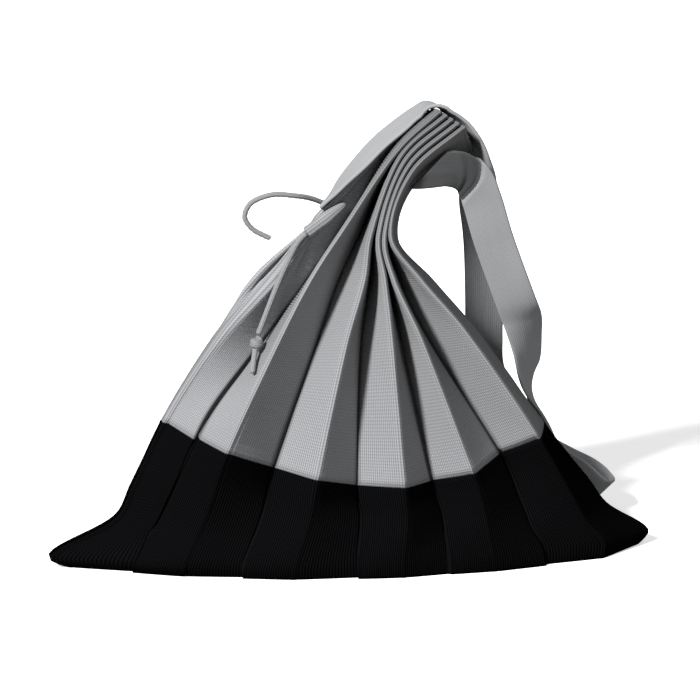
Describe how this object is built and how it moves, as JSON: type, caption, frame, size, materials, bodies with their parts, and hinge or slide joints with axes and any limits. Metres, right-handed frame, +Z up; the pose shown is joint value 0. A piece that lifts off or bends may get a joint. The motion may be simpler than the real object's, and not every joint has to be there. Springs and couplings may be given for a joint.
{
  "type": "pleated knit shoulder bag",
  "caption": "Accordion-pleated knit tote, grey above and black below, gathered neck, wide knit shoulder strap and a drawcord, standing on its folded-under base.",
  "frame": {"origin": "middle of the underside of the whole bag's box, strap included and free cord left out, on the surface that it stands on", "axes": "+X across the bag towards the side that the neck leans to, +Y from front to back, +Z up"},
  "size_m": [0.4342, 0.1611, 0.3361],
  "materials": {
    "grey_knit": "matt fine rib knit, mid grey",
    "black_knit": "matt fine rib knit, black",
    "strap_knit": "matt close knit band, mid grey",
    "cord": "matt knitted round cord, grey"
  },
  "bodies": {
    "root": {"front_upper_panel": "grey_knit", "back_upper_panel": "grey_knit", "front_lower_panel": "black_knit", "back_lower_panel": "black_knit", "shoulder_strap": "strap_knit", "cord_casing": "grey_knit", "drawcord_front": "cord", "cord_knot": "cord", "drawcord_back": "cord"}
  },
  "joints": []
}
